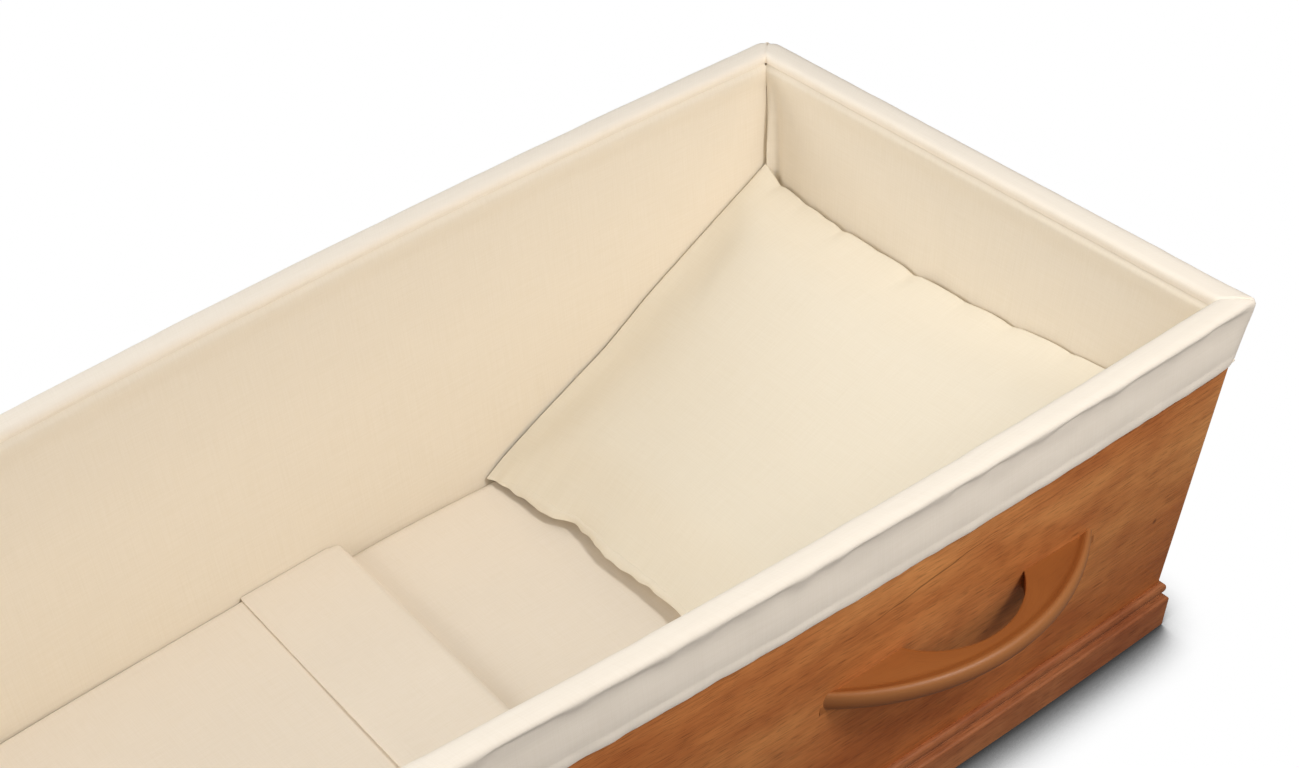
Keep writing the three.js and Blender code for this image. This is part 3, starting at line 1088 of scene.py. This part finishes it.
# Vertices round the open edge of a flat skin
def openEdge(skin):
    uses = {}
    for polygon in skin.data.polygons:
        for key in polygon.edge_keys:
            uses[key] = uses.get(key, 0) + 1
    return {vertex for key, count in uses.items() if count == 1 for vertex in key}


# Both sides of the cover, sewn together at the seams. The seams are held still in the simulation,
# and so is the underside where it lies on the mattress.
def makePillow():
    size = (pillow["columns"], pillow["rows"], *pillow["map"])

    def crowd(t):  # steps crowd towards the seams
        return 0.75 * t + 0.25 * (0.5 - 0.5 * math.cos(math.pi * t))

    upper = makeSkin("cotton_pillow", "cloth", *size, lambda u, v: pillowTop(crowd(u), crowd(v)))
    lower = makeSkin("pillow_underside", "cloth", *size, lambda u, v: pillowUnder(crowd(u), crowd(v)))
    for skin in (upper, lower):
        held = openEdge(skin)
        if skin is lower:
            held |= {v.index for v in skin.data.vertices if form["endX"] - v.co.x < pillow["lies"]}
        skin.vertex_groups.new(name="held").add(sorted(held), 1.0, "REPLACE")
    editAll(lower, bpy.ops.mesh.flip_normals)
    choose(upper)
    lower.select_set(True)
    bpy.ops.object.join()
    editAll(upper, mergeDoubles, facesOut)
    inflate(upper)
    applyModifier(upper, "SUBSURF", levels=1, render_levels=1)
    shadeSmooth(upper, 60)
    finishPiece(upper, pillowCotton, "pillow_cotton", "pillow")
    return upper


# The stuffing evens out the small creases that the air leaves in the cover. The seams stay put.
def evenedOut(piece, moves):
    beside = [[] for move in moves]
    for edge in piece.data.edges:
        a, b = edge.vertices
        beside[a].append(b)
        beside[b].append(a)
    for _ in range(pillow["evening"]):
        averages = [sum((moves[i] for i in near), Vector()) / len(near) for near in beside]
        pairs = zip(moves, averages)
        moves = [move if move.length == 0 else (move + average) / 2 for move, average in pairs]
    return moves


# Blows the cover up a little, as cloth with air in it
def inflate(piece):
    start = [vertex.co.copy() for vertex in piece.data.vertices]
    choose(piece)
    cloth = piece.modifiers.new("cloth", "CLOTH")
    values = cloth.settings
    values.use_pressure = True
    values.uniform_pressure_force = pillow["pressure"]
    values.effector_weights.gravity = 0
    values.vertex_group_mass = "held"
    values.shrink_min = pillow["stretch"]
    values.quality = 6
    values.tension_stiffness = 12
    values.compression_stiffness = 12
    values.bending_stiffness = 0.3
    cloth.collision_settings.use_collision = False
    cloth.collision_settings.use_self_collision = False
    cloth.point_cache.frame_start = 1
    cloth.point_cache.frame_end = pillow["frames"]
    for number in range(1, pillow["frames"] + 1):
        bpy.context.scene.frame_set(number)
    bpy.ops.object.modifier_apply(modifier=cloth.name)
    bpy.context.scene.frame_set(1)
    moves = [vertex.co - before for vertex, before in zip(piece.data.vertices, start)]
    moves = [move.normalized() * min(move.length, pillow["cap"]) for move in moves]
    for vertex, before, move in zip(piece.data.vertices, start, evenedOut(piece, moves)):
        vertex.co = before + move


makePillow()
print("pillow made")


# Stage: a floor that glows paper white to the camera, with a painted shadow where the coffin stands
# on it, darkest where the coffin hides it most, and that throws a little less light back at the boards
stage = {"floorSize": 14, "skyStrength": 0.1, "shadowReach": 0.078, "bounce": "#7c7c7c"}

paper = newMaterial("white_floor")
# painted shadow: ambient occlusion darkens the floor's glow close to the coffin
shadow = addNode(paper, "ShaderNodeAmbientOcclusion", {"Distance": stage["shadowReach"]}, samples=24)
tone = rampOf(paper, shadow.outputs["AO"], [(0.48, 0.04), (0.63, 0.22), (0.78, 0.72), (0.91, 1.0)])
glowWithPaintedShadow = addNode(paper, "ShaderNodeEmission", {"Color": tone})
lit = addNode(paper, "ShaderNodeBsdfDiffuse", {"Color": linear(stage["bounce"])})
rays = addNode(paper, "ShaderNodeLightPath")
blend = {0: rays.outputs["Is Camera Ray"], 1: lit.outputs[0], 2: glowWithPaintedShadow.outputs[0]}
either = addNode(paper, "ShaderNodeMixShader", blend)
addNode(paper, "ShaderNodeOutputMaterial", {"Surface": either.outputs[0]})
deselectAll()
bpy.ops.mesh.primitive_plane_add(size=stage["floorSize"])
floor = bpy.context.object
floor.name = "floor"
floor.data.materials.append(paper)

world = bpy.data.worlds.new("white_studio")
world.use_nodes = True
world.node_tree.nodes["Background"].inputs["Color"].default_value = (1, 1, 1, 1)
world.node_tree.nodes["Background"].inputs["Strength"].default_value = stage["skyStrength"]
bpy.context.scene.world = world


def addLight(name, place, target, size, energy, colour=(1, 1, 1)):
    lightData = bpy.data.lights.new(name, "AREA")
    lightData.shape = "DISK"
    lightData.size = size
    lightData.energy = energy
    lightData.color = colour
    light = bpy.data.objects.new(name, lightData)
    bpy.context.scene.collection.objects.link(light)
    light.location = place
    light.rotation_euler = (Vector(target) - Vector(place)).to_track_quat("-Z", "Y").to_euler()
    return light


# Where the lights point
headHalf = (0.3, 0, 0.2)
bed = (0.4, -0.1, 0.2)
leftPanel = (0.5, -0.35, 0.2)

# name, place, where it points, how wide it is, watts
addLight("key", (1.12, -1.49, 2.0), bed, 0.4, 21.2)
addLight("front_low", (0.97, -2.51, 1.7), headHalf, 1.6, 23, (1, 0.94, 0.91))
addLight("front_glint", (0.0, -2.06, 2.1), leftPanel, 0.5, 5.2)
addLight("back_low", (-1.54, 1.84, 1.7), headHalf, 1.6, 37.5)
addLight("foot_low", (-2.3, 0, 1.7), headHalf, 1.6, 24)
addLight("back_top", (-0.76, 1.06, 2.8), headHalf, 1.6, 7.8)
addLight("head_top", (1.2, 0.2, 1.6), bed, 0.8, 2.4)

# The camera stands off the left side, near the middle, and looks down into the head end
view = {
    "place": (-0.2712, -1.2569, 1.5182),
    "azimuth": 55.794,  # degrees, of its line of sight, from +X towards +Y
    "down": 37.840,
    "roll": 5.718,
    "lens": 60.18,
}
azimuth, down, roll = (math.radians(view[key]) for key in ("azimuth", "down", "roll"))
sight = Vector((math.cos(azimuth) * math.cos(down), math.sin(azimuth) * math.cos(down), -math.sin(down)))
level = sight.cross(Vector((0, 0, 1))).normalized()
lower = sight.cross(level)
cameraRight = level * math.cos(roll) + lower * math.sin(roll)
cameraUp = level * math.sin(roll) - lower * math.cos(roll)
turn = Matrix((cameraRight, cameraUp, -sight)).transposed().to_4x4()
cameraData = bpy.data.cameras.new("camera")
cameraData.lens = view["lens"]
cameraData.sensor_width = 36
camera = bpy.data.objects.new("camera", cameraData)
bpy.context.scene.collection.objects.link(camera)
camera.matrix_world = Matrix.Translation(view["place"]) @ turn
bpy.context.scene.camera = camera
bpy.context.scene.view_settings.view_transform = "Standard"
print("stage, lights and camera made")
